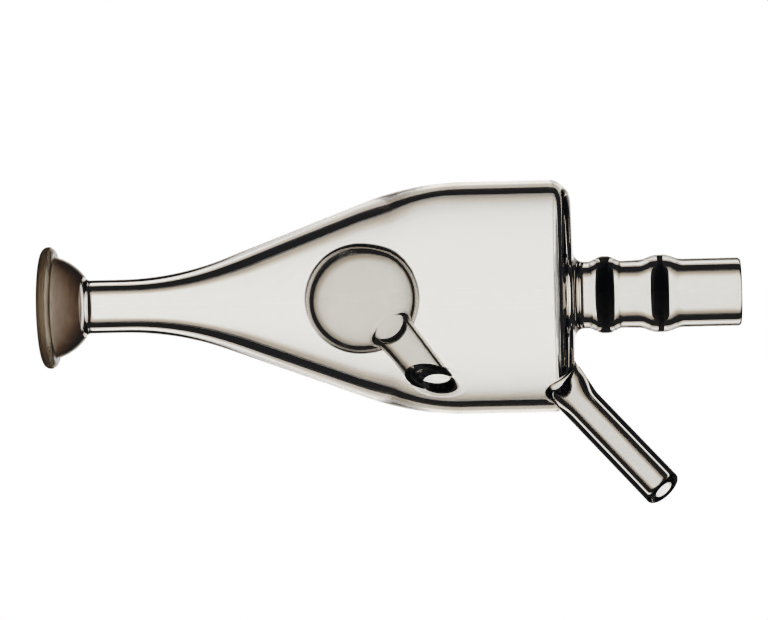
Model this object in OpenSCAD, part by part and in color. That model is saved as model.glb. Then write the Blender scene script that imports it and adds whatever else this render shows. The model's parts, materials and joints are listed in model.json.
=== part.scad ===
// Conical single-pass spray chamber with an impact bead, lamp-worked from clear borosilicate tube.
// X runs along the chamber from the socket joint to the nebuliser port, and Z is up, so the drain
// points down. The origin is the centre of the ball that seats in the socket.

/* [Socket joint] */
// Diameter of the ground ball that seats in the socket
ball_d = 19.05; // [18.6:0.05:19.1]
// Wall of the socket cup
cup_wall = 1.38; // [1.3:0.02:1.6]
// Diameter across the middle of the rolled lip
lip_ring_d = 22.56; // [22.4:0.02:22.8]
// Thickness of the rolled lip
lip_t = 2.7; // [2.5:0.1:2.8]
// Distance of the lip from the centre of the ball
lip_x = 1.45; // [1.4:0.05:1.7]

/* [Chamber] */
// Outside diameter of the neck
neck_d = 11; // [10.6:0.1:11.6]
// Bore of the neck
neck_bore_d = 7; // [6.6:0.1:7.4]
// Outside diameter of the body
body_d = 48; // [46:0.5:50]
// Wall of the body
body_wall = 2.55; // [2.3:0.05:2.8]
// Where the neck's line meets the cone's line
cone_x = 27.8; // [27:0.1:29]
// Where the cone's line meets the body's line
shoulder_x = 77.2; // [76:0.1:79]
// Radius of the outside flare and of the outside shoulder
flare_r = 62; // [50:1:66]
// How far the neck's end of the cone's inside lies behind that of its outside
cone_lag = 3.4; // [3:0.1:3.6]
// How far the body's end of the cone's inside lies behind that of its outside
shoulder_lag = 2.5; // [2.2:0.1:2.8]
// Outer face of the end wall
face_x = 110.5; // [110:0.1:110.8]
// Thickness of the end wall
end_wall_t = 3.1; // [2.8:0.1:3.5]

/* [Nebuliser port] */
// Outside diameter of the port tube
port_d = 14; // [13.8:0.1:14.4]
// Bore of the port tube
port_bore_d = 9.5; // [9.2:0.1:9.8]
// Open end of the port tube
port_end_x = 144.6; // [142:0.1:150]
// Middle of the inner groove
inner_groove_x = 116.7; // [116.5:0.1:117]
// Middle of the outer groove
outer_groove_x = 128.1; // [127.8:0.1:128.6]
// Diameter across the floor of a groove
groove_d = 11.5; // [11.3:0.1:11.8]
// Diameter across the swelling over a groove
swell_d = 15.9; // [15.6:0.1:16]
// Thickness of an O-ring
ring_t = 2.9; // [2.8:0.05:3]

/* [Drain] */
// Outside diameter of the drain tube
drain_d = 7.8; // [7.4:0.1:8]
// Bore of the drain tube
drain_bore_d = 3.9; // [3:0.1:4.2]
// Angle of the drain below the chamber's axis
drain_angle = 52; // [50:0.5:54]
// Length of the drain tube from inside the corner of the chamber
drain_length = 34.2; // [28:0.1:40]

/* [Impact bead] */
// Outside diameter of the bead
bead_d = 23; // [21:0.5:24]
// Wall of the bead
bead_wall = 1.45; // [1:0.05:1.8]
// Where the stem's line crosses the chamber's axis
stem_x = 66.9; // [66:0.1:68]
// How far the bead's centre lies past that crossing
bead_past = 0.7; // [0:0.1:1.5]
// Angle of the stem below the chamber's axis
stem_angle = 56; // [55:0.5:58]
// How far the stem is turned round the chamber from the drain
stem_turn = 10.5; // [6:0.5:14]
// Outside diameter of the stem at the bead
stem_top_d = 8.1; // [7.6:0.1:8.4]
// Outside diameter of the stem at the wall
stem_foot_d = 6.6; // [6.2:0.1:7]
// Wall of the stem
stem_wall = 0.8; // [0.6:0.05:1]

/* [Hidden] */
$fn = 96;

GLASS = [0.86, 0.87, 0.85, 0.45];
GROUND = [0.62, 0.58, 0.52];
RUBBER = [0.04, 0.04, 0.05];

// Radii that the outlines share
neck_r = neck_d / 2;
bore_r = neck_bore_d / 2;
body_r = body_d / 2;
inner_r = body_r - body_wall;
port_r = port_d / 2;
port_bore_r = port_bore_d / 2;
seat_r = ball_d / 2;
cup_r = seat_r + cup_wall;

// Weld lines across the axis, where one tube is sealed to the next
neck_weld_x = 14.5;
cone_weld_x = 39;
body_weld_x = 71;
end_weld_x = 100;

cup_fillet = 1.2;
corner_fillet = 4.6;
inner_corner_fillet = 1.7;
end_dish = 0.7;
inner_flare_r = flare_r + 10;
inner_shoulder_r = 37;
port_seat_r = 9;
waist_r = 6.85;
tip_fillet = 0.7;
squeeze = 0.1;
overrun = 2;
arc_step = 3;

// How far the start of the drain's line lies inside the end face and inside the body's outside
drain_inset = [4.3, 4.2];

// Where the drain tube and its bore flare towards the chamber, along the drain's line
drain_root_t = -3;
drain_flare_fillet = 9;

function unit(v) = v / norm(v);

// The points of a round corner of radius f at b, on the way from a to c
function corner(a, b, c, f) =
    let (
        u = unit(a - b),
        w = unit(c - b),
        half = acos(u * w) / 2,
        middle = b + unit(u + w) * f / sin(half),
        from = b + u * f / tan(half) - middle,
        turn = (180 - 2 * half) * sign(cross(-u, w)),
        start = atan2(from.y, from.x),
        steps = max(2, ceil(abs(turn) / arc_step))
    )
    [for (i = [0:steps]) middle + f * [cos(start + turn * i / steps), sin(start + turn * i / steps)]];

// An outline through [radius, along, fillet] points, with each corner rounded by its fillet
function rounded(points) = [
    for (i = [0:len(points) - 1])
        let (
            p = points[i],
            before = points[max(i - 1, 0)],
            after = points[min(i + 1, len(points) - 1)],
            here = [p[0], p[1]]
        )
        each p[2] == 0
            ? [here]
            : corner([before[0], before[1]], here, [after[0], after[1]], p[2])
];

function backwards(points) = [for (i = [len(points) - 1:-1:0]) points[i]];

// The swelling, or the groove, that the port tube has round an O-ring
function swelling(middle, base, top, half_top, slope, fillet) = [
    [base, middle - half_top - slope, fillet],
    [top, middle - half_top, fillet],
    [top, middle + half_top, fillet],
    [base, middle + half_top + slope, fillet]
];

// Turns a shape made along Z so that it lies along X
module along_x() {
    rotate([0, 90, 0])
        children();
}

// The drain's bore where it flares into the chamber
function drain_mouth() = [
    [drain_bore_d / 2 + 1.5, drain_root_t, 0],
    [drain_bore_d / 2 + 0.9, 3.5, drain_flare_fillet],
    [drain_bore_d / 2, 8, drain_flare_fillet]
];

// Lays a shape made along Z on the drain's line, from inside the corner of the chamber
module on_drain() {
    translate([face_x - drain_inset.x, 0, drain_inset.y - body_r])
        rotate([0, 90 + drain_angle, 0])
            children();
}

// Lays a shape made along Z on the stem's line, from the chamber's axis
module on_stem() {
    translate([stem_x, 0, 0])
        rotate([-stem_turn, 0, 0])
            rotate([0, 90 + stem_angle, 0])
                children();
}

// Half of the chamber's outside, from the neck's weld to the end face
module chamber_outside() {
    polygon(concat(
        [[0, neck_weld_x]],
        rounded([
            [neck_r, neck_weld_x, 0],
            [neck_r, cone_x, flare_r],
            [body_r, shoulder_x, flare_r],
            [body_r, face_x - end_dish, corner_fillet],
            [port_seat_r, face_x, 0]
        ]),
        [[0, face_x]]
    ));
}

// Half of the chamber's inside, from before the neck's weld to the inner face
module chamber_inside() {
    polygon(concat(
        [[0, neck_weld_x - overrun]],
        rounded([
            [bore_r, neck_weld_x - overrun, 0],
            [bore_r, cone_x + cone_lag, inner_flare_r],
            [inner_r, shoulder_x + shoulder_lag, inner_shoulder_r],
            [inner_r, face_x - end_wall_t, inner_corner_fillet],
            [port_seat_r, face_x - end_wall_t, 0]
        ]),
        [[0, face_x - end_wall_t]]
    ));
}

// A length of the chamber's wall
module chamber_wall(from, to) {
    along_x()
        rotate_extrude()
            intersection() {
                difference() {
                    chamber_outside();
                    chamber_inside();
                }
                translate([0, from])
                    square([body_r + overrun, to - from]);
            }
}

// The chamber as if it were solid, for trimming what is sealed to it
module chamber_solid() {
    along_x()
        rotate_extrude()
            chamber_outside();
}

// The stem's cone, made smaller by inset all round
module stem_cone(inset) {
    length = body_r / sin(stem_angle);
    drop = (stem_top_d - stem_foot_d) / 2;
    slope = drop / (length - bead_d / 2);
    on_stem()
        cylinder(
            h = length + overrun,
            r1 = stem_top_d / 2 + slope * bead_d / 2 - inset,
            r2 = stem_foot_d / 2 - slope * overrun - inset
        );
}

module bead_ball(r) {
    on_stem()
        translate([0, 0, -bead_past])
            sphere(r);
}

module drain_bore() {
    on_drain()
        rotate_extrude()
            polygon(rounded(concat(
                [[0, drain_root_t, 0]],
                drain_mouth(),
                [[drain_bore_d / 2, drain_length, 0], [0, drain_length, 0]]
            )));
}

// Half of the socket cup with its rolled lip and the start of the neck
module socket_outline() {
    fillet_x = sqrt(pow(cup_r + cup_fillet, 2) - pow(neck_r + cup_fillet, 2));
    difference() {
        union() {
            intersection() {
                circle(cup_r);
                translate([0, lip_x])
                    square(cup_r);
            }
            translate([lip_ring_d / 2, lip_x])
                circle(lip_t / 2);
            polygon([
                [0, fillet_x],
                [0, cup_r / 2],
                [cup_r * (neck_r + cup_fillet) / (cup_r + cup_fillet), cup_r * fillet_x / (cup_r + cup_fillet)],
                [neck_r + cup_fillet, fillet_x]
            ]);
            square([neck_r, neck_weld_x]);
        }
        circle(seat_r);
        translate([neck_r + cup_fillet, fillet_x])
            circle(cup_fillet);
        square([bore_r, neck_weld_x + overrun]);
        translate([0, -body_r])
            square([lip_ring_d / 2, body_r]);
    }
}

module socket_cup() {
    color(GROUND)
        along_x()
            rotate_extrude()
                socket_outline();
}

module neck_tube() {
    color(GLASS)
        chamber_wall(neck_weld_x, cone_weld_x);
}

module cone() {
    color(GLASS)
        chamber_wall(cone_weld_x, body_weld_x);
}

module body_tube() {
    color(GLASS)
        difference() {
            chamber_wall(body_weld_x, end_weld_x);
            stem_cone(0);
        }
}

module end_wall() {
    color(GLASS)
        difference() {
            chamber_wall(end_weld_x, face_x);
            drain_bore();
            translate([face_x - end_wall_t - overrun, 0, 0])
                along_x()
                    cylinder(h = end_wall_t + 2 * overrun, r = port_bore_r);
        }
}

// The port tube is sealed to the end wall. Its wall bulges outwards, all in one thickness, to make
// the two grooves for the O-rings
module port_tube() {
    outside = concat(
        [[port_seat_r, face_x, 0], [port_seat_r - 0.2, face_x + 0.3, 0], [waist_r, face_x + 1, 1]],
        swelling(inner_groove_x, waist_r, swell_d / 2, 0.9, 2.2, 2.4),
        swelling(outer_groove_x, port_r, swell_d / 2, 1.3, 2.6, 4.4),
        [[port_r, port_end_x, tip_fillet]]
    );
    inside = concat(
        [[port_bore_r, port_end_x, tip_fillet / 2]],
        backwards(swelling(outer_groove_x, port_bore_r, groove_d / 2, 1.3, 2.6, 4.4)),
        backwards(swelling(inner_groove_x, port_bore_r, groove_d / 2, 0.9, 2.2, 2.4)),
        [[port_bore_r, face_x, 0]]
    );
    color(GLASS)
        along_x()
            rotate_extrude()
                polygon(rounded(concat(outside, inside)));
}

// An O-ring, pressed flat where it bears on the floor of its groove
module o_ring(x) {
    color(RUBBER)
        translate([x, 0, 0])
            along_x()
                rotate_extrude()
                    intersection() {
                        translate([(groove_d - ring_t) / 2 + squeeze, 0])
                            circle(ring_t / 2);
                        translate([0, -ring_t])
                            square([groove_d / 2, 2 * ring_t]);
                    }
}

module inner_o_ring() {
    o_ring(inner_groove_x);
}

module outer_o_ring() {
    o_ring(outer_groove_x);
}

module drain_tube() {
    color(GLASS)
        difference() {
            on_drain()
                rotate_extrude()
                    polygon(rounded(concat(
                        drain_mouth(),
                        [
                            [drain_bore_d / 2, drain_length, tip_fillet / 2],
                            [drain_d / 2, drain_length, tip_fillet],
                            [drain_d / 2, 8.5, drain_flare_fillet],
                            [drain_d / 2 + 0.7, 2.2, 0],
                            [drain_d / 2 + 0.7, drain_root_t, 0]
                        ]
                    )));
            chamber_solid();
        }
}

// The bead is blown on the stem's end, so its hollow is open to the stem's bore
module impact_bead() {
    color(GLASS)
        difference() {
            bead_ball(bead_d / 2);
            bead_ball(bead_d / 2 - bead_wall);
            stem_cone(stem_wall);
        }
}

module bead_stem() {
    color(GLASS)
        difference() {
            intersection() {
                stem_cone(0);
                chamber_solid();
            }
            stem_cone(stem_wall);
            bead_ball(bead_d / 2);
        }
}

socket_cup();
neck_tube();
cone();
body_tube();
end_wall();
port_tube();
inner_o_ring();
outer_o_ring();
drain_tube();
impact_bead();
bead_stem();
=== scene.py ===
"""A lamp-worked spray chamber with an impact bead, seen against a bright panel.

All shapes are in millimetres in the CAD frame: X runs along the chamber and Z is up.
"""

import json
import math

import bmesh
import bpy
import numpy as np
from mathutils import Matrix, Vector
from mathutils.geometry import delaunay_2d_cdt


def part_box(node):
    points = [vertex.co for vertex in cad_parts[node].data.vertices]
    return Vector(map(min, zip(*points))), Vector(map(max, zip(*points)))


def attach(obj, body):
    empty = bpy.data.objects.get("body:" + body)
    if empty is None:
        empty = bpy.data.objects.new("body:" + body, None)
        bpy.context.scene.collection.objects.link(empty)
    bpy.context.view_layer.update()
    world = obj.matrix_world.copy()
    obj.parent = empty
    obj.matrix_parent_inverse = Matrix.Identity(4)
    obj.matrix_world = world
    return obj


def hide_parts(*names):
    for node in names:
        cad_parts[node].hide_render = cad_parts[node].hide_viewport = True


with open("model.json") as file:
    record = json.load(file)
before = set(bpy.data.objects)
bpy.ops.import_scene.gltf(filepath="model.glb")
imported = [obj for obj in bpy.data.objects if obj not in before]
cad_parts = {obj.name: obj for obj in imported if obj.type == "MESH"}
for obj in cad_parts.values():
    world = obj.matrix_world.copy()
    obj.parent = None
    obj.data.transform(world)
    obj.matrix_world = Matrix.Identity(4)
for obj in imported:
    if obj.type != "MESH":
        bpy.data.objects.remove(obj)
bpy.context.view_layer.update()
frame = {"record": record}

MM = 0.001
BODY = "root"

# How finely the glass is drawn: points round the chamber, round a branch and round a ring's
# section, the turn from point to point of an arc, and the longest stretch between two points
AROUND = 240
BRANCH_AROUND = 120
O_RING_AROUND = 72
ARC_STEP = math.radians(1.5)
STEP = 0.6
SOCKET_STEP = 0.4

# The kinds of surface that a piece has, in the order of its material slots
CLEAR, WELD, GROUND = 0, 1, 2

MOUNTS = {mount["name"]: mount for mount in frame["record"]["mounts"]}


def span(node, axis):
    """Where a CAD node starts and ends along an axis, in millimetres."""
    low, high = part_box(node)
    return low[axis] / MM, high[axis] / MM


def mount_r(name):
    """The radius that the record states for a mount, in millimetres."""
    return MOUNTS[name]["dims"]["r_mm"]


# Chamber, from the socket to the end face. Its inside widens and turns later than its outside, by
# the two lags
NECK_WELD_X = span("neck_tube", 0)[0]
CONE_WELD_X = span("cone", 0)[0]
BODY_WELD_X = span("body_tube", 0)[0]
END_WELD_X = span("end_wall", 0)[0]
FACE_X = span("end_wall", 0)[1]
BODY_R = span("body_tube", 1)[1]
WALL_T = 2.55
INNER_R = BODY_R - WALL_T
NECK_R = 5.5
NECK_BORE_R = mount_r("outlet_neck")
CONE_X = 27.8
SHOULDER_X = 77.2
CONE_LAG = 3.4
SHOULDER_LAG = 2.5
FLARE_R = 62.0
INNER_FLARE_R = 72.0
INNER_SHOULDER_R = 37.0
END_WALL_T = 3.1
END_DISH = 0.7
CORNER_R = 4.6
INNER_CORNER_R = 1.7

# Socket joint
SEAT_R = 9.525
CUP_R = SEAT_R + 1.38
CUP_CREASE_R = 0.5
CUP_FILLET_R = 0.9
FUNNEL_FILLET_R = 1.0
LIP_X = 1.45
LIP_TUBE_R = 1.35
LIP_RING_R = span("socket_cup", 1)[1] - LIP_TUBE_R
GROUND_SEAT_TO_X = 7.8
GROUND_LIP_TO_X = LIP_X + 0.6

# Nebuliser port
PORT_R = mount_r("port_outside")
PORT_BORE_R = mount_r("nebuliser_port")
PORT_END_X = span("port_tube", 0)[1]
PORT_FOOT_FILLET_R = 2.0
PORT_MOUTH_FILLET_R = 1.5
WAIST_R = 6.85
GROOVE_R = span("inner_o_ring", 1)[1]
GROOVE_XS = [sum(span(node, 0)) / 2 for node in ("inner_o_ring", "outer_o_ring")]
O_RING_T = span("inner_o_ring", 0)[1] - span("inner_o_ring", 0)[0]
SQUEEZE = 0.1
CONTACT = 0.01
TIP_R = 0.7

# The bulges of the port's wall over the O-rings: half the length of the top and the length of a
# slope, and the fillets of the swelling outside and of the groove inside
SWELL_R = 7.95
INNER_BULGE = (0.9, 2.2)
INNER_SWELL_FILLET_R = 2.6
INNER_GROOVE_FILLET_R = 2.4
OUTER_BULGE = (1.3, 2.6)
OUTER_FILLET_R = 4.4

# Drain. A spread is how far a rounded edge reaches past its tube, and a rise how far it climbs
DRAIN_ALONG = np.array(MOUNTS["drain_bore"]["axis"])
DRAIN_START = np.array([FACE_X - 4.3, 0, 4.2 - BODY_R])
DRAIN_R = mount_r("drain_end")
DRAIN_BORE_R = mount_r("drain_bore")
DRAIN_LENGTH = 34.2
DRAIN_PLAIN_T = 11.0
DRAIN_ROOT_SPREAD = 0.6
DRAIN_ROOT_RISE = 0.9
DRAIN_MOUTH_SPREAD = 0.25
DRAIN_MOUTH_RISE = 0.35

# Impact bead and its stem, whose line crosses the chamber's axis at STEM_X. T is along that line
STEM_X = 66.9
STEM_ANGLE = math.radians(56)
STEM_TURN = math.radians(10.5)
BEAD_R = 11.5
BEAD_PAST = 0.7
CAVITY_R = 9.9
CAVITY_PAST = 0.25
STEM_WELD_T = 10.9
STEM_FOOT_T = 29.0
STEM_TOP_R = 4.05
STEM_FOOT_R = 3.3
STEM_WALL = 0.8
STEM_ROOT_SPREAD = 0.15
STEM_MOUTH_ROUND = 0.6
STEM_CREST_R = 3.1
STEM_CREST_RISE = 0.1
STEM_EDGE_R = 4.7

# Where along a branch's line its root can meet the chamber's wall
DRAIN_REACH = (-12, 16)
STEM_REACH = (12, 45)

GLASS_IOR = 1.474

# The camera. Its distance, the width of its frame there and where it aims are in metres
AZIMUTH = math.radians(3.39)
ELEVATION = math.radians(-32.86)
ROLL = math.radians(0.467)
DISTANCE = 0.78
FRAME_WIDTH = 0.159
AIM = (0.0705, 0, 0)
SHIFT = (0.0031, -0.013)
PANEL_ANGLE = math.radians(31.5)


# ---------------------------------------------------------------- outlines

def unit(v):
    """A way of length 1, or a whole array of them."""
    return v / np.linalg.norm(v, axis=-1, keepdims=True)


def corner_arc(a, b, c, radius):
    """Points of a round corner at b on the way from a to c."""
    u, w = unit(a - b), unit(c - b)
    half = math.acos(float(np.clip(u @ w, -1, 1))) / 2
    middle = b + unit(u + w) * radius / math.sin(half)
    first = b + u * radius / math.tan(half) - middle
    turn = (math.pi - 2 * half) * math.copysign(1, -u[0] * w[1] + u[1] * w[0])
    start = math.atan2(first[1], first[0])
    return arc(middle, radius, start, start + turn)


def arc(centre, radius, start, end):
    """Points of an arc between two angles."""
    steps = max(4, math.ceil(abs(end - start) / ARC_STEP))
    angles = np.linspace(start, end, steps + 1)
    return np.array(centre) + radius * np.c_[np.cos(angles), np.sin(angles)]


def rounded(points):
    """An outline through (along, radius, fillet) points, with each corner rounded by its fillet."""
    flat = [np.array(p[:2], float) for p in points]
    out = []
    for i, point in enumerate(points):
        if point[2] == 0:
            out.append(flat[i][None])
        else:
            out.append(corner_arc(flat[i - 1], flat[i], flat[i + 1], point[2]))
    return np.concatenate(out)


def swelling(middle, base, top, half_top, slope, fillet):
    """The swelling, or the groove, that the port tube has round an O-ring."""
    return [
        (middle - half_top - slope, base, fillet),
        (middle - half_top, top, fillet),
        (middle + half_top, top, fillet),
        (middle + half_top + slope, base, fillet),
    ]


def outlined(line, step=STEP):
    """The outline in short stretches, as rows of along, radius and the way out from its left side."""
    line = line[np.r_[True, np.linalg.norm(np.diff(line, axis=0), axis=1) > 1e-6]]
    out = [line[:1]]
    for a, b in zip(line[:-1], line[1:]):
        n = max(1, math.ceil(np.linalg.norm(b - a) / step))
        out.append(a + (b - a) * (np.arange(1, n + 1) / n)[:, None])
    points = np.concatenate(out)
    ways = unit(np.diff(points, axis=0))
    way = unit(np.r_[ways[:1], ways[:-1] + ways[1:], ways[-1:]])
    return np.c_[points, -way[:, 1], way[:, 0]]


def between(line, low, high):
    """The stretch of an outline between two planes across the axis."""
    out = []
    for a, b in zip(line[:-1], line[1:]):
        marks = [0.0, 1.0]
        for x in (low, high):
            if (a[0] - x) * (b[0] - x) < 0:
                marks.append((x - a[0]) / (b[0] - a[0]))
        for m in sorted(marks):
            p = a + (b - a) * m
            if low - 1e-7 <= p[0] <= high + 1e-7:
                out.append(p)
    kept = np.array(out)
    return kept[np.r_[True, np.linalg.norm(np.diff(kept[:, :2], axis=0), axis=1) > 1e-6]]


def outside_line():
    """The chamber's outside, from the neck's weld to the port's open end."""
    return outlined(rounded(
        [
            (NECK_WELD_X, NECK_R, 0),
            (CONE_X, NECK_R, FLARE_R),
            (SHOULDER_X, BODY_R, FLARE_R),
            (FACE_X - END_DISH, BODY_R, CORNER_R),
            (FACE_X, WAIST_R, PORT_FOOT_FILLET_R),
            *swelling(GROOVE_XS[0], WAIST_R, SWELL_R, *INNER_BULGE, INNER_SWELL_FILLET_R),
            *swelling(GROOVE_XS[1], PORT_R, SWELL_R, *OUTER_BULGE, OUTER_FILLET_R),
            (PORT_END_X, PORT_R, TIP_R),
            (PORT_END_X, PORT_BORE_R + TIP_R, 0),
        ]
    ))


def inside_line():
    """The chamber's inside, from the neck's weld to the port's open end."""
    return outlined(rounded(
        [
            (NECK_WELD_X, NECK_BORE_R, 0),
            (CONE_X + CONE_LAG, NECK_BORE_R, INNER_FLARE_R),
            (SHOULDER_X + SHOULDER_LAG, INNER_R, INNER_SHOULDER_R),
            (FACE_X - END_WALL_T, INNER_R, INNER_CORNER_R),
            (FACE_X - END_WALL_T, PORT_BORE_R, PORT_MOUTH_FILLET_R),
            *swelling(GROOVE_XS[0], PORT_BORE_R, GROOVE_R, *INNER_BULGE, INNER_GROOVE_FILLET_R),
            *swelling(GROOVE_XS[1], PORT_BORE_R, GROOVE_R, *OUTER_BULGE, OUTER_FILLET_R),
            (PORT_END_X, PORT_BORE_R, TIP_R / 2),
            (PORT_END_X, PORT_BORE_R + TIP_R, 0),
        ]
    ))


def circles_cross(a, a_r, b, b_r):
    """Where two circles cross, on the side of larger x."""
    a, b = np.array(a, float), np.array(b, float)
    gap = np.linalg.norm(b - a)
    along = (gap**2 + a_r**2 - b_r**2) / (2 * gap)
    up = math.sqrt(a_r**2 - along**2)
    way = (b - a) / gap
    both = [a + way * along + s * up * np.array([-way[1], way[0]]) for s in (-1, 1)]
    return max(both, key=lambda p: p[0])


def angle_of(v):
    """The angle of a flat way."""
    return math.atan2(v[1], v[0])


def socket_line():
    """The socket's outline, from the neck's outside over the lip to the neck's bore."""
    foot_r = NECK_R + CUP_FILLET_R
    foot = np.array([math.sqrt((CUP_R + CUP_FILLET_R) ** 2 - foot_r**2), foot_r])
    lip = np.array([LIP_X, LIP_RING_R])
    crease = circles_cross((0, 0), CUP_R + CUP_CREASE_R, lip, LIP_TUBE_R + CUP_CREASE_R)
    into_seat = math.radians(250)
    seat_top = math.radians(83.4)
    funnel_r = NECK_BORE_R + FUNNEL_FILLET_R
    funnel = np.array([math.sqrt((SEAT_R + FUNNEL_FILLET_R) ** 2 - funnel_r**2), funnel_r])
    return np.concatenate([
        [[NECK_WELD_X, NECK_R]],
        arc(foot, CUP_FILLET_R, -math.pi / 2, angle_of(-foot)),
        arc((0, 0), CUP_R, angle_of(foot), angle_of(crease)),
        arc(crease, CUP_CREASE_R, angle_of(-crease), angle_of(lip - crease) - 2 * math.pi),
        arc(lip, LIP_TUBE_R, angle_of(crease - lip), into_seat),
        arc((0, 0), SEAT_R, seat_top, angle_of(funnel)),
        arc(funnel, FUNNEL_FILLET_R, angle_of(funnel) + math.pi, 1.5 * math.pi),
        [[NECK_WELD_X, NECK_BORE_R]],
    ])


# ---------------------------------------------------------------- surfaces

class Line:
    """A line in space, with two ways square to it that angles are measured from."""

    def __init__(self, origin, along):
        self.origin = np.array(origin, float)
        self.along = unit(np.array(along, float))
        self.up = unit(np.cross(self.along, [0, 1, 0]))
        self.side = np.cross(self.along, self.up)

    def out(self, turn):
        """The way straight out from the line at an angle round it."""
        turn = np.asarray(turn)[..., None]
        return np.cos(turn) * self.up + np.sin(turn) * self.side

    def spot(self, t, radius, turn):
        """The point at a distance along the line, a radius from it and an angle round it."""
        t, radius = np.asarray(t)[..., None], np.asarray(radius)[..., None]
        return self.origin + t * self.along + radius * self.out(turn)


class Turned:
    """A surface made by turning an outline about a line."""

    def __init__(self, line, outline):
        self.line = line
        self.outline = outline
        steps = np.linalg.norm(np.diff(outline[:, :2], axis=0), axis=1)
        self.run = np.r_[0, np.cumsum(steps)]

    def at(self, run, turn):
        """Points of the surface and their normals, by run along the outline and angle."""
        x, r, nx, nr = (np.interp(run, self.run, self.outline[:, k]) for k in range(4))
        normal = nx[..., None] * self.line.along + nr[..., None] * self.line.out(turn)
        return self.line.spot(x, r, turn), unit(normal)

    def nearest(self, points):
        """How far points are outside the surface, and the run and turn of the nearest place on it."""
        away = points - self.line.origin
        x = away @ self.line.along
        flat = away - x[:, None] * self.line.along
        r = np.linalg.norm(flat, axis=1)
        turn = np.arctan2(flat @ self.line.side, flat @ self.line.up) % (2 * math.pi)
        a, b = self.outline[:-1, :2], self.outline[1:, :2]
        p = np.c_[x, r][:, None]
        way = b - a
        share = np.clip(((p - a) * way).sum(-1) / (way**2).sum(-1), 0, 1)
        gap = p - (a + share[..., None] * way)
        length = np.linalg.norm(gap, axis=-1)
        best = length.argmin(axis=1)
        rows = np.arange(len(points))
        left = np.c_[-way[best, 1], way[best, 0]]
        sign = np.sign((gap[rows, best] * left).sum(-1))
        run = self.run[best] + share[rows, best] * np.linalg.norm(way[best], axis=1)
        return sign * length[rows, best], run, turn

    def landing(self, line, radius, inside, outside):
        """Where lines beside another line come out through this surface."""
        turn = circle(BRANCH_AROUND)
        radius = np.broadcast_to(radius, turn.shape)
        low, high = np.full(len(turn), float(inside)), np.full(len(turn), float(outside))
        for _ in range(40):
            middle = (low + high) / 2
            out = self.nearest(line.spot(middle, radius, turn))[0] > 0
            low, high = np.where(out, low, middle), np.where(out, middle, high)
        _, run, here = self.nearest(line.spot(low, radius, turn))
        return low, run, here


def circle(n):
    """Angles evenly round a circle."""
    return 2 * math.pi * np.arange(n) / n


def bridge(start, start_way, end, end_way, start_reach, end_reach, steps):
    """Rings between two rings on a smooth curve that leaves and arrives along the given ways."""
    s = np.linspace(0, 1, steps + 1)[:, None, None]
    a, b = start + start_way * start_reach, end - end_way * end_reach
    return (1 - s) ** 3 * start + 3 * (1 - s) ** 2 * s * a + 3 * (1 - s) * s**2 * b + s**3 * end


def inward(line, normal):
    """The way along a surface towards a line, for a ring round the line."""
    way = -line.out(circle(len(normal)))
    return unit(way - (way * normal).sum(-1, keepdims=True) * normal)


def ring_normals(rings):
    """Normals of a surface given as rings, by differences."""
    down = np.gradient(rings, axis=0)
    round_ = np.roll(rings, -1, axis=1) - np.roll(rings, 1, axis=1)
    return unit(np.cross(down, round_))


# ---------------------------------------------------------------- meshes

class Skin:
    """The closed surface of one piece, as points with normals and faces of a kind."""

    def __init__(self):
        self.points, self.normals, self.faces, self.kinds = [], [], [], []
        self.count = 0

    def grid(self, points, normals):
        """Adds points of any layout, and returns their numbers in the same layout."""
        flat = points.reshape(-1, 3)
        ids = self.count + np.arange(len(flat)).reshape(points.shape[:-1])
        self.points.append(flat)
        self.normals.append(normals.reshape(-1, 3))
        self.count += len(flat)
        return ids

    def face(self, corners, kind=CLEAR):
        """Adds faces, given as rows of point numbers."""
        self.faces += corners.tolist()
        self.kinds += [kind] * len(corners)

    def band(self, a, b, kind=CLEAR):
        """Faces between two rings of points."""
        self.face(np.c_[a, np.roll(a, -1), np.roll(b, -1), b], kind)

    def tube(self, ids):
        """Faces between each ring of points and the next."""
        for a, b in zip(ids[:-1], ids[1:]):
            self.band(a, b)

    def fan(self, point, normal, ring):
        """Faces from a ring to the one point that closes it."""
        tip = self.grid(np.array([point]), np.array([normal]))[0]
        self.face(np.c_[ring, np.roll(ring, -1), np.full(len(ring), tip)])

    def build(self, name, materials):
        """Makes the mesh object, with its faces turned outwards and its normals as worked out."""
        points = np.concatenate(self.points)
        normals = np.concatenate(self.normals)
        mesh = bpy.data.meshes.new(name)
        mesh.from_pydata((points * MM).tolist(), [], self.faces)
        for material in materials:
            mesh.materials.append(material)
        mesh.polygons.foreach_set("material_index", np.array(self.kinds, np.int32))
        draft = bmesh.new()
        draft.from_mesh(mesh)
        bmesh.ops.recalc_face_normals(draft, faces=draft.faces)
        loose = sum(not edge.is_manifold for edge in draft.edges)
        draft.to_mesh(mesh)
        draft.free()
        if loose:
            raise ValueError(f"{name} is open at {loose} edges")
        mesh.shade_smooth()
        self.face_out(mesh, normals)
        mesh.normals_split_custom_set_from_vertices(normals.tolist())
        piece = bpy.data.objects.new(name, mesh)
        bpy.context.scene.collection.objects.link(piece)
        return piece

    def face_out(self, mesh, normals):
        """Turns each point's normal to the side that its glass faces show."""
        corners = np.empty(len(mesh.loops), np.int64)
        mesh.loops.foreach_get("vertex_index", corners)
        sizes = np.empty(len(mesh.polygons), np.int64)
        mesh.polygons.foreach_get("loop_total", sizes)
        flat = np.empty(len(mesh.polygons) * 3)
        mesh.polygons.foreach_get("normal", flat)
        shown = flat.reshape(-1, 3) * (np.array(self.kinds) != WELD)[:, None]
        sums = np.zeros_like(normals)
        np.add.at(sums, corners, np.repeat(shown, sizes, axis=0))
        normals *= np.where((sums * normals).sum(1) < 0, -1, 1)[:, None]


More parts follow.
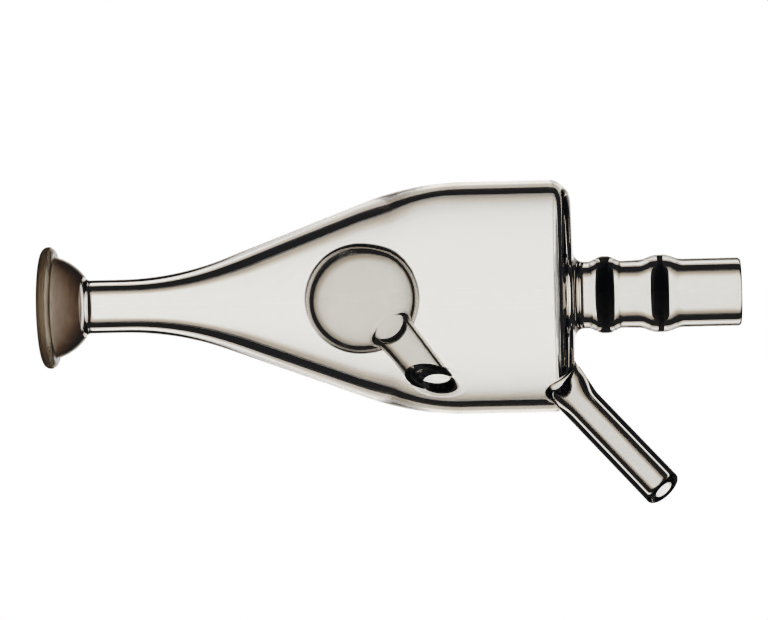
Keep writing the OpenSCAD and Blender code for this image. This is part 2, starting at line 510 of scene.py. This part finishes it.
def turned_loop(name, line, outline, kinds, materials):
    """A ring-shaped piece, made by turning a closed outline about a line."""
    surface = Turned(line, outline)
    points, normals = surface.at(surface.run[:, None], circle(AROUND)[None])
    skin = Skin()
    ids = skin.grid(points, normals)
    for k, kind in enumerate(kinds):
        skin.band(ids[k], ids[(k + 1) % len(ids)], kind)
    return skin.build(name, materials)


def within(points, ring):
    """Which flat points lie inside a closed ring of flat points."""
    x, y = points[:, :1], points[:, 1:]
    a, b = ring, np.roll(ring, -1, axis=0)
    crosses = (a[:, 1] > y) != (b[:, 1] > y)
    height = np.where(b[:, 1] == a[:, 1], 1e-12, b[:, 1] - a[:, 1])
    at = a[:, 0] + (y - a[:, 1]) / height * (b[:, 0] - a[:, 0])
    return (crosses & (x < at)).sum(1) % 2 == 1


def holed(skin, surface, run, turn):
    """Adds a turned surface with a hole whose edge is given by run and turn. Returns its first,
    last and hole rings of points."""
    turns = circle(AROUND)
    points, normals = surface.at(surface.run[:, None], turns[None])
    ids = skin.grid(points, normals)
    edge_ids = skin.grid(*surface.at(run, turn))

    # The faces in a window round the hole are made afresh, to join its edge
    margin = 1.0
    top = max(1, np.searchsorted(surface.run, run.min() - margin) - 1)
    foot = min(len(ids) - 2, np.searchsorted(surface.run, run.max() + margin))
    turn_margin = margin / BODY_R
    left = int(np.floor((turn.min() - turn_margin) / turns[1]))
    right = int(np.ceil((turn.max() + turn_margin) / turns[1]))

    rows = np.arange(len(ids) - 1)
    columns = np.arange(AROUND)
    row, column = (a.ravel() for a in np.meshgrid(rows, columns, indexing="ij"))
    kept = ~((row >= top) & (row < foot) & (column >= left) & (column < right))
    row, column = row[kept], column[kept]
    after = (column + 1) % AROUND
    skin.face(np.c_[ids[row, column], ids[row, after], ids[row + 1, after], ids[row + 1, column]])

    window_run, window_turn = (
        a.ravel() for a in np.meshgrid(surface.run[top:foot + 1], turns[left:right + 1], indexing="ij")
    )
    window_ids = ids[top:foot + 1, left:right + 1].ravel()
    flat = np.c_[window_run, window_turn * BODY_R]
    edge = np.c_[run, turn * BODY_R]
    least_gap = 0.45 * STEP
    near = np.linalg.norm(flat[:, None] - edge[None], axis=2).min(1) < least_gap
    free = ~(within(flat, edge) | near)
    wide, tall = right - left + 1, foot - top + 1
    border = np.concatenate([
        np.arange(wide),
        np.arange(2 * wide - 1, wide * tall, wide),
        np.arange(wide * tall - 2, wide * (tall - 1) - 1, -1),
        np.arange(wide * (tall - 2), 0, -wide),
    ])
    number = np.cumsum(free) - 1
    spots = np.concatenate([flat[free], edge])
    spot_ids = np.concatenate([window_ids[free], edge_ids])
    edge_numbers = free.sum() + np.arange(len(edge))
    border = number[border]
    wanted = [*zip(border, np.roll(border, -1)), *zip(edge_numbers, np.roll(edge_numbers, -1))]
    made = delaunay_2d_cdt(
        [Vector(spot) for spot in spots.tolist()],
        [(int(a), int(b)) for a, b in wanted],
        [],
        0,
        1e-7,
    )
    source = np.array([was[0] for was in made[3]])
    faces = source[np.array(made[2])]
    middles = spots[faces].mean(1)
    skin.face(spot_ids[faces[~within(middles, edge)]])
    return ids[0], ids[-1], edge_ids


# ---------------------------------------------------------------- the glass pieces

CHAMBER = Line((0, 0, 0), (1, 0, 0))
DRAIN = Line(DRAIN_START, DRAIN_ALONG)
STEM = Line(
    (STEM_X, 0, 0),
    (
        math.cos(STEM_ANGLE),
        -math.sin(STEM_ANGLE) * math.sin(STEM_TURN),
        -math.sin(STEM_ANGLE) * math.cos(STEM_TURN),
    ),
)
OUTSIDE = outside_line()
INSIDE = inside_line()
OUTER = Turned(CHAMBER, OUTSIDE)
INNER = Turned(CHAMBER, INSIDE)


def wall_piece(name, low, high, materials):
    """A length of the chamber's wall, welded at both ends."""
    out, back = between(OUTSIDE, low, high), between(INSIDE, low, high)[::-1]
    outline = np.concatenate([out, back])
    kinds = np.full(len(outline), CLEAR)
    kinds[[len(out) - 1, -1]] = WELD
    return turned_loop(name, CHAMBER, outline, kinds, materials)


def port_piece(name, materials):
    """The port tube, from its weld on the end wall to its fire-polished end."""
    past_end = PORT_END_X + 1
    out, back = between(OUTSIDE, FACE_X, past_end), between(INSIDE, FACE_X, past_end)[::-1]
    outline = np.concatenate([out, back[1:]])
    kinds = np.full(len(outline), CLEAR)
    kinds[-1] = WELD
    return turned_loop(name, CHAMBER, outline, kinds, materials)


def socket_piece(name, materials):
    """The socket, clear outside and ground where the ball seats."""
    outline = outlined(socket_line(), SOCKET_STEP)
    inside = np.arange(len(outline)) > outline[:, 0].argmin()
    frosted = outline[:, 0] < np.where(inside, GROUND_SEAT_TO_X, GROUND_LIP_TO_X)
    kinds = np.where(frosted & np.roll(frosted, -1), GROUND, CLEAR)
    kinds[-1] = WELD
    return turned_loop(name, CHAMBER, outline, kinds, materials)


def part_of(surface, low, high):
    """A stretch of a turned surface, and how far along it the stretch starts."""
    outline = between(surface.outline, low, high)
    piece = Turned(surface.line, outline)
    start = surface.nearest(surface.line.spot(outline[:1, 0], outline[:1, 1], np.zeros(1)))[1][0]
    return piece, start


def holed_wall(name, low, high, outer_edge, inner_edge, materials):
    """A length of the chamber's wall with a branch welded through it."""
    skin = Skin()
    ends = []
    for surface, (run, turn) in ((OUTER, outer_edge), (INNER, inner_edge)):
        stretch, start = part_of(surface, low, high)
        ends.append(holed(skin, stretch, run - start, turn))
    for a, b in zip(*ends):
        skin.band(a, b, WELD)
    return skin.build(name, materials)


# What the flare at the drain's root adds to its outside and to its bore, on the end wall's side
OUTSIDE_FLARE = rounded([(-6, 1.1, 0), (2.2, 1.1, 4), (8.5, 0, 9), (DRAIN_LENGTH, 0, 0)])
BORE_FLARE = rounded([(-6, 2.75, 0), (3.5, 1.45, 9), (8, 0, 9), (DRAIN_LENGTH, 0, 0)])


def flared(radius, flare, least):
    """The radius of a tube round the drain's line, by t, with a flare that is least on its far side
    from the end wall."""
    share = least + (1 - least) * (1 + np.cos(circle(BRANCH_AROUND))) / 2
    return lambda t: radius + share * np.interp(t, flare[:, 0], flare[:, 1])


def leaning(t, radius_at):
    """The way along a flaring tube at t."""
    slope = (radius_at(t + 0.05) - radius_at(t - 0.05)) / 0.1
    return unit(DRAIN.along + DRAIN.out(circle(BRANCH_AROUND)) * slope[:, None])


def meeting(surface, radius_at):
    """Where a flaring tube meets a surface of the chamber."""
    t = np.zeros(BRANCH_AROUND)
    for _ in range(8):
        t = surface.landing(DRAIN, radius_at(t), *DRAIN_REACH)[0]
    return t


def drain_rings():
    """The drain's rings from its root on the outside, round its open end and up its bore, with
    the places of the first and last ring on the chamber's surfaces."""
    turn = circle(BRANCH_AROUND)
    outside_at = flared(DRAIN_R, OUTSIDE_FLARE, 0.0)
    bore_at = flared(DRAIN_BORE_R, BORE_FLARE, 0.3)
    root_t = meeting(OUTER, outside_at)
    _, run, here = OUTER.landing(DRAIN, outside_at(root_t) + DRAIN_ROOT_SPREAD, *DRAIN_REACH)
    foot, foot_normal = OUTER.at(run, here)
    rise = root_t + DRAIN_ROOT_RISE
    top = DRAIN.spot(rise, outside_at(rise), turn)
    fillet = bridge(foot, inward(DRAIN, foot_normal), top, leaning(rise, outside_at), 0.45, 0.5, 10)

    shares = np.linspace(0, 1, 19)[1:, None]
    t = rise + (DRAIN_PLAIN_T - rise) * shares
    flare = DRAIN.spot(t, outside_at(t), turn[None])
    tip = outlined(rounded([
        (DRAIN_PLAIN_T, DRAIN_R, 0),
        (DRAIN_LENGTH, DRAIN_R, TIP_R),
        (DRAIN_LENGTH, DRAIN_BORE_R, TIP_R / 2),
        (DRAIN_PLAIN_T, DRAIN_BORE_R, 0),
    ]))[1:]
    tube = DRAIN.spot(tip[:, 0, None], tip[:, 1, None], turn[None])

    mouth_t = meeting(INNER, bore_at)
    low = mouth_t + DRAIN_MOUTH_RISE
    t = DRAIN_PLAIN_T + (low - DRAIN_PLAIN_T) * shares
    bore = DRAIN.spot(t, bore_at(t), turn[None])
    _, in_run, in_here = INNER.landing(DRAIN, bore_at(mouth_t) + DRAIN_MOUTH_SPREAD, *DRAIN_REACH)
    mouth, mouth_normal = INNER.at(in_run, in_here)
    outwards = -inward(DRAIN, mouth_normal)
    rim = bridge(bore[-1], -leaning(low, bore_at), mouth, outwards, 0.18, 0.14, 8)
    rings = np.concatenate([fillet, flare, tube, bore, rim[1:]])
    normals = ring_normals(rings)
    normals[0] = foot_normal
    normals[-1] = mouth_normal
    return rings, normals, (run, here), (in_run, in_here)


def stem_outline():
    """The outlines of the bead and stem, outside and inside, from the pole that is furthest from
    the stem to past the wall, and the slope of the stem's taper."""
    wall_t = BODY_R / math.sin(STEM_ANGLE)
    past_wall_t = 40
    far_pole = math.radians(179)
    slope = (STEM_TOP_R - STEM_FOOT_R) / (wall_t - BEAD_R)
    crease_r = 0.8
    crease_t = math.sqrt((BEAD_R + crease_r) ** 2 - (STEM_TOP_R + crease_r) ** 2) - BEAD_PAST
    crease = np.array([crease_t, STEM_TOP_R + slope * (BEAD_R - crease_t) + crease_r])
    centre = np.array([-BEAD_PAST, 0])
    outside = outlined(np.concatenate([
        arc(centre, BEAD_R, far_pole, angle_of(crease - centre)),
        arc(crease, crease_r, angle_of(centre - crease) + 2 * math.pi, 1.5 * math.pi),
        [[past_wall_t, STEM_TOP_R - slope * (past_wall_t - BEAD_R)]],
    ]))
    round_r = 1.2
    bore_r = STEM_TOP_R - STEM_WALL
    hollow = centre + [CAVITY_PAST, 0]
    shoulder_t = hollow[0] + math.sqrt((CAVITY_R + round_r) ** 2 - (bore_r + round_r) ** 2)
    shoulder = np.array([shoulder_t, bore_r + slope * (BEAD_R - shoulder_t) + round_r])
    inside = outlined(np.concatenate([
        arc(hollow, CAVITY_R, far_pole, angle_of(shoulder - hollow)),
        arc(shoulder, round_r, angle_of(hollow - shoulder) + 2 * math.pi, 1.5 * math.pi),
        [[past_wall_t, bore_r - slope * (past_wall_t - BEAD_R)]],
    ]))
    return outside, inside, slope


BEAD_OUTSIDE, BEAD_INSIDE, STEM_SLOPE = stem_outline()


def stem_r(t):
    """The stem's outside radius along its line."""
    return STEM_TOP_R - STEM_SLOPE * (np.asarray(t) - BEAD_R)


def stem_rings():
    """The stem's rings from its root inside the chamber up to the bead's weld, and from there
    down its bore to its mouth on the outside."""
    turn = circle(BRANCH_AROUND)
    root_t = np.full(BRANCH_AROUND, 25.0)
    for _ in range(6):
        root_t = INNER.landing(STEM, stem_r(root_t), *STEM_REACH)[0]
    _, run, here = INNER.landing(STEM, stem_r(root_t) + STEM_ROOT_SPREAD, *STEM_REACH)
    foot, foot_normal = INNER.at(run, here)
    rise = root_t - STEM_ROOT_SPREAD
    top = STEM.spot(rise, stem_r(rise), turn)
    fillet = bridge(foot, inward(STEM, foot_normal), top, -STEM.along, 0.08, 0.08, 8)
    outer = between(BEAD_OUTSIDE, STEM_WELD_T, STEM_REACH[1])
    shares = np.linspace(0, 1, 31)[:, None]
    t = rise + (STEM_WELD_T - rise) * shares[1:]
    radii = np.interp(t, outer[:, 0], outer[:, 1])
    outside = STEM.spot(t, radii, turn[None])

    bore_r = stem_r(STEM_FOOT_T) - STEM_WALL
    mouth_t = OUTER.landing(STEM, bore_r, *STEM_REACH)[0] - STEM_MOUTH_ROUND
    t = STEM_WELD_T + (mouth_t - STEM_WELD_T) * shares
    inner = between(BEAD_INSIDE, STEM_WELD_T, STEM_REACH[1])
    bore = STEM.spot(t, np.interp(t, inner[:, 0], inner[:, 1]), turn[None])
    _, crest_run, crest_here = OUTER.landing(STEM, STEM_CREST_R, *STEM_REACH)
    crest, crest_normal = OUTER.at(crest_run, crest_here)
    crest = crest + STEM_CREST_RISE * crest_normal
    lip = bridge(bore[-1], STEM.along, crest, -inward(STEM, crest_normal), 0.4, 0.35, 12)
    _, out_run, out_here = OUTER.landing(STEM, STEM_EDGE_R, *STEM_REACH)
    edge, edge_normal = OUTER.at(out_run, out_here)
    down = unit(-inward(STEM, edge_normal) - 0.3 * edge_normal)
    skirt = bridge(crest, -inward(STEM, crest_normal), edge, down, 0.9, 0.4, 8)
    rings = [
        np.concatenate([fillet, outside]),
        np.concatenate([bore, lip[1:], skirt[1:]]),
    ]
    normals = [ring_normals(part) for part in rings]
    normals[0][0] = foot_normal
    normals[1][-1] = edge_normal
    return rings, normals, (out_run, out_here), (run, here)


def drain_piece(name, rings, normals, materials):
    """The drain tube, welded where its root passes through the end wall."""
    skin = Skin()
    ids = skin.grid(rings, normals)
    skin.tube(ids)
    skin.band(ids[-1], ids[0], WELD)
    return skin.build(name, materials)


def stem_piece(name, rings, normals, materials):
    """The stem, welded to the bead and where it passes through the body's wall."""
    skin = Skin()
    up, down = (skin.grid(r, n) for r, n in zip(rings, normals))
    skin.tube(up)
    skin.tube(down)
    skin.band(up[-1], down[0], WELD)
    skin.band(down[-1], up[0], WELD)
    return skin.build(name, materials)


def lumpy(surface, points, normals):
    """The hollow as it was blown: not quite round, apart from its two ends."""
    share = (surface.run / surface.run[-1])[:, None, None]
    turn = circle(BRANCH_AROUND)[None, :, None]
    swell = 0.05 * np.sin(2 * turn + 0.6) + 0.04 * np.sin(3 * turn + 2.1 + 3 * share)
    swell += 0.05 * np.cos(3 * math.pi * share + turn)
    moved = points + normals * swell * np.sin(math.pi * share) ** 2
    fresh = ring_normals(moved)
    fresh *= np.sign((fresh * normals).sum(-1, keepdims=True))
    fresh[[0, -1]] = normals[[0, -1]]
    return moved, fresh


def bead_piece(name, materials):
    """The hollow bead, which is blown in one with the stem. Both its surfaces start at the pole
    that is furthest from the stem."""
    skin = Skin()
    ends = []
    for outline in (BEAD_OUTSIDE, BEAD_INSIDE):
        surface = Turned(STEM, between(outline, -math.inf, STEM_WELD_T))
        points, normals = surface.at(surface.run[:, None], circle(BRANCH_AROUND)[None])
        radius = BEAD_R + BEAD_PAST
        if outline is BEAD_INSIDE:
            points, normals = lumpy(surface, points, normals)
            radius = CAVITY_R + BEAD_PAST - CAVITY_PAST
        ids = skin.grid(points, normals)
        skin.tube(ids)
        skin.fan(STEM.spot(-radius, 0, 0), -STEM.along, ids[0])
        ends.append(ids[-1])
    skin.band(*ends, WELD)
    return skin.build(name, materials)


def o_ring_piece(name, x, material):
    """An O-ring, pressed flat where it bears on the floor of its groove."""
    tube_r = O_RING_T / 2
    angles = circle(O_RING_AROUND)
    radius = np.minimum(GROOVE_R + SQUEEZE - tube_r + tube_r * np.sin(angles), GROOVE_R + CONTACT)
    outline = np.c_[x + tube_r * np.cos(angles), radius, np.cos(angles), np.sin(angles)]
    return turned_loop(name, CHAMBER, outline, np.full(len(angles), CLEAR), [material])


# ---------------------------------------------------------------- materials

def material(name):
    """A new node material, and its nodes and links."""
    made = bpy.data.materials.new(name)
    made.use_nodes = True
    made.node_tree.nodes.clear()
    return made, made.node_tree.nodes, made.node_tree.links


def grain(nodes, links, per_metre, detail=3.0):
    """Noise in the part's own frame, with its waves per metre along X, Y and Z."""
    place = nodes.new("ShaderNodeTexCoord")
    stretch = nodes.new("ShaderNodeMapping")
    stretch.inputs["Scale"].default_value = per_metre
    noise = nodes.new("ShaderNodeTexNoise")
    noise.inputs["Scale"].default_value = 1
    noise.inputs["Detail"].default_value = detail
    links.new(place.outputs["Object"], stretch.inputs["Vector"])
    links.new(stretch.outputs["Vector"], noise.inputs["Vector"])
    return noise.outputs["Fac"]


def ranged(nodes, links, value, low, high, to_low, to_high):
    """A value moved from one range to another, and kept within it."""
    fit = nodes.new("ShaderNodeMapRange")
    for name, number in zip(("From Min", "From Max", "To Min", "To Max"), (low, high, to_low, to_high)):
        fit.inputs[name].default_value = number
    links.new(value, fit.inputs["Value"])
    return fit.outputs["Result"]


def blend(nodes, links, share, first, second):
    """A colour between two colours."""
    mix = nodes.new("ShaderNodeMix")
    mix.data_type = "RGBA"
    mix.inputs["A"].default_value = (*first, 1)
    mix.inputs["B"].default_value = (*second, 1)
    links.new(share, mix.inputs["Factor"])
    return mix.outputs["Result"]


def bumps(nodes, links, *layers):
    """A normal with layers of bumps, each given by its waves per metre, detail and height in metres."""
    made = None
    for per_metre, detail, height in layers:
        under = made
        made = nodes.new("ShaderNodeBump")
        made.inputs["Distance"].default_value = height
        links.new(grain(nodes, links, per_metre, detail), made.inputs["Height"])
        if under:
            links.new(under.outputs["Normal"], made.inputs["Normal"])
    return made.outputs["Normal"]


def surfaced(name, colour, roughness, normal, transmission=0.0, ior=1.5):
    """A material whose looks are made by functions of its nodes and links."""
    made, nodes, links = material(name)
    out = nodes.new("ShaderNodeOutputMaterial")
    skin = nodes.new("ShaderNodeBsdfPrincipled")
    skin.inputs["Transmission Weight"].default_value = transmission
    skin.inputs["IOR"].default_value = ior
    links.new(colour(nodes, links), skin.inputs["Base Color"])
    links.new(roughness(nodes, links), skin.inputs["Roughness"])
    links.new(normal(nodes, links), skin.inputs["Normal"])
    links.new(skin.outputs[0], out.inputs[0])
    return made


def clear_glass(name, clearest, deepest):
    """Borosilicate tube: a faint warm tint, very fine draw lines along it, and a few hazy spots."""
    return surfaced(
        name,
        lambda n, k: blend(n, k, grain(n, k, (40, 60, 60)), clearest, deepest),
        lambda n, k: ranged(n, k, grain(n, k, (500, 700, 700)), 0.6, 0.85, 0.0, 0.03),
        lambda n, k: bumps(n, k, ((60, 60, 60), 1, 1.6e-5), ((25, 420, 420), 2, 2.5e-6)),
        1,
        GLASS_IOR,
    )


def weld():
    """Where two pieces are one glass, so nothing is seen."""
    made, nodes, links = material("fused_glass")
    out = nodes.new("ShaderNodeOutputMaterial")
    through = nodes.new("ShaderNodeBsdfTransparent")
    links.new(through.outputs[0], out.inputs[0])
    return made


def frosted_colour_with_painted_light(nodes, links):
    """Brown-grey and streaky in the seat, and lighter on the lip as painted light, where the light gets
    in; the darker seat colour is painted shade on the same ground glass.
    """
    streaks = grain(nodes, links, (900, 250, 250), 5)
    place = nodes.new("ShaderNodeTexCoord")
    along = nodes.new("ShaderNodeSeparateXYZ")
    links.new(place.outputs["Object"], along.inputs["Vector"])
    seat_from, seat_to = 0.0024, 0.0034
    shaded_seat_share = ranged(nodes, links, along.outputs["X"], seat_from, seat_to, 0, 1)
    mix = nodes.new("ShaderNodeMix")
    mix.data_type = "RGBA"
    links.new(shaded_seat_share, mix.inputs["Factor"])
    # Painted light and shade: the lip's colour is a lighter copy of the seat's, painted where the light
    # gets in, and the seat's darker colour is painted shade; the streaks between the two tones of each
    # are the grinding's grain
    lip = blend(nodes, links, streaks, (0.72, 0.66, 0.58), (0.6, 0.54, 0.46))
    seat = blend(nodes, links, streaks, (0.64, 0.555, 0.495), (0.52, 0.425, 0.375))
    links.new(lip, mix.inputs["A"])
    links.new(seat, mix.inputs["B"])
    return mix.outputs["Result"]


def ground_glass():
    """The ground seat: brown-grey and rough, with fine rings from the grinding."""
    return surfaced(
        "ground_borosilicate",
        frosted_colour_with_painted_light,
        lambda n, k: ranged(n, k, grain(n, k, (1500, 400, 400)), 0.3, 0.7, 0.66, 0.88),
        lambda n, k: bumps(n, k, ((5000, 5000, 5000), 4, 3e-5), ((4000, 500, 500), 4, 2e-5)),
        1,
        GLASS_IOR,
    )


def rubber():
    """Black O-ring rubber with a fine moulded grain, greyer and duller where it is dusty."""
    clean, dusty = (0.004, 0.005, 0.006), (0.014, 0.015, 0.017)
    return surfaced(
        "o_ring_rubber",
        lambda n, k: blend(n, k, grain(n, k, (700, 700, 700), 5), clean, dusty),
        lambda n, k: ranged(n, k, grain(n, k, (900, 900, 900), 4), 0.35, 0.65, 0.38, 0.6),
        lambda n, k: bumps(n, k, ((5000, 5000, 5000), 3, 2e-5)),
    )


# ---------------------------------------------------------------- the set

def place_camera():
    """The camera, which looks up at the chamber from below and in front."""
    data = bpy.data.cameras.new("camera")
    camera = bpy.data.objects.new("camera", data)
    bpy.context.scene.collection.objects.link(camera)
    back = Vector((
        math.sin(AZIMUTH) * math.cos(ELEVATION),
        -math.cos(AZIMUTH) * math.cos(ELEVATION),
        math.sin(ELEVATION),
    ))
    turn = (-back).to_track_quat("-Z", "Y").to_matrix().to_4x4()
    camera.matrix_world = (
        Matrix.Translation(Vector(AIM) + back * DISTANCE) @ turn @ Matrix.Rotation(ROLL, 4, "Z")
    )
    data.lens = data.sensor_width * DISTANCE / FRAME_WIDTH
    data.shift_x, data.shift_y = SHIFT
    bpy.context.scene.camera = camera
    return camera


def bright_panel(camera):
    """The round bright panel that stands behind the glass: white in the middle, and dimmer and
    warmer towards its rim, past which the room is dark."""
    behind = 1.2
    radius = behind * math.tan(PANEL_ANGLE)
    turns = circle(96)
    rim = np.c_[radius * np.cos(turns), radius * np.sin(turns), np.zeros(len(turns))]
    mesh = bpy.data.meshes.new("bright_panel")
    mesh.from_pydata(rim.tolist(), [], [list(range(len(rim)))])
    panel = bpy.data.objects.new("bright_panel", mesh)
    bpy.context.scene.collection.objects.link(panel)
    made, nodes, links = material("panel_light")
    out = nodes.new("ShaderNodeOutputMaterial")
    light = nodes.new("ShaderNodeEmission")
    place = nodes.new("ShaderNodeTexCoord")
    reach = nodes.new("ShaderNodeVectorMath")
    reach.operation = "LENGTH"
    share = nodes.new("ShaderNodeMath")
    share.operation = "DIVIDE"
    share.inputs[1].default_value = radius
    ramp = nodes.new("ShaderNodeValToRGB")
    stops = [
        (0.42, (1, 1, 1)),
        (0.56, (0.84, 0.79, 0.73)),
        (0.69, (0.65, 0.59, 0.52)),
        (0.9, (0.56, 0.5, 0.44)),
        (0.985, (0.52, 0.47, 0.42)),
        (1, (0.01, 0.01, 0.01)),
    ]
    while len(ramp.color_ramp.elements) < len(stops):
        ramp.color_ramp.elements.new(0.5)
    for element, (position, colour) in zip(ramp.color_ramp.elements, stops):
        element.position = position
        element.color = (*colour, 1)
    links.new(place.outputs["Object"], reach.inputs[0])
    links.new(reach.outputs["Value"], share.inputs[0])
    links.new(share.outputs[0], ramp.inputs["Fac"])
    links.new(ramp.outputs["Color"], light.inputs["Color"])
    links.new(light.outputs[0], out.inputs[0])
    mesh.materials.append(made)
    panel.parent = camera
    panel.location = (0, 0, -DISTANCE - behind)


def floor():
    """A plain pale floor, far enough below to stay out of the picture."""
    mesh = bpy.data.meshes.new("floor")
    half, z = 3.0, -1.4
    corners = [(-half, -half, z), (half, -half, z), (half, half, z), (-half, half, z)]
    mesh.from_pydata(corners, [], [(0, 1, 2, 3)])
    ground = bpy.data.objects.new("floor", mesh)
    bpy.context.scene.collection.objects.link(ground)
    made, nodes, links = material("floor_paint")
    out = nodes.new("ShaderNodeOutputMaterial")
    paint = nodes.new("ShaderNodeBsdfPrincipled")
    paint.inputs["Base Color"].default_value = (0.8, 0.8, 0.8, 1)
    links.new(paint.outputs[0], out.inputs[0])
    mesh.materials.append(made)


def dark_room():
    """The dark surroundings, which draw the glass's edges."""
    world = bpy.data.worlds.new("dark_room")
    world.use_nodes = True
    world.node_tree.nodes["Background"].inputs["Color"].default_value = (0.007, 0.009, 0.015, 1)
    bpy.context.scene.world = world


def set_light_paths():
    """Lets light pass through every wall of the glass."""
    cycles = bpy.context.scene.cycles
    cycles.max_bounces = 32
    cycles.transmission_bounces = 32
    cycles.glossy_bounces = 8
    cycles.transparent_max_bounces = 64
    cycles.use_denoising = True


def set_tone():
    """Darkens the dim tones, as in a picture taken against a bright field."""
    view = bpy.context.scene.view_settings
    view.view_transform = "Standard"
    view.use_curve_mapping = True
    tone = view.curve_mapping.curves[3].points
    tone[0].location = (0, 0.0012)
    for dim, shown in ((0.01, 0.009), (0.08, 0.018), (0.2, 0.13), (0.45, 0.42), (0.8, 0.785)):
        tone.new(dim, shown)
    view.curve_mapping.update()


def hand_in(piece, node):
    """Gives a piece its body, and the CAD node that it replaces."""
    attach(piece, BODY)
    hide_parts(node)


camera = place_camera()
bright_panel(camera)
floor()
dark_room()
set_light_paths()
set_tone()

fused, frosted = weld(), ground_glass()
glass = [clear_glass("clear_borosilicate", (0.967, 0.96, 0.944), (0.953, 0.945, 0.928)), fused, frosted]
port_glass = [clear_glass("port_borosilicate", (0.93, 0.922, 0.905), (0.912, 0.902, 0.882)), fused]
drain_glass = [clear_glass("drain_borosilicate", (0.885, 0.875, 0.855), (0.855, 0.845, 0.825)), fused]
black = rubber()

drain_rows, drain_normals, drain_out, drain_in = drain_rings()
stem_rows, stem_normals, stem_out, stem_in = stem_rings()

hand_in(socket_piece("socket_cup_glass", glass), "socket_cup")
hand_in(wall_piece("neck_tube_glass", NECK_WELD_X, CONE_WELD_X, glass), "neck_tube")
hand_in(wall_piece("cone_glass", CONE_WELD_X, BODY_WELD_X, glass), "cone")
hand_in(
    holed_wall("body_tube_glass", BODY_WELD_X, END_WELD_X, stem_out, stem_in, glass),
    "body_tube",
)
hand_in(
    holed_wall("end_wall_glass", END_WELD_X, FACE_X, drain_out, drain_in, glass),
    "end_wall",
)
hand_in(port_piece("port_tube_glass", port_glass), "port_tube")
hand_in(
    drain_piece("drain_tube_glass", drain_rows, drain_normals, drain_glass),
    "drain_tube",
)
hand_in(stem_piece("bead_stem_glass", stem_rows, stem_normals, glass), "bead_stem")
hand_in(bead_piece("impact_bead_glass", glass), "impact_bead")
for node, groove_x in zip(("inner_o_ring", "outer_o_ring"), GROOVE_XS):
    hand_in(o_ring_piece(f"{node}_rubber", groove_x, black), node)
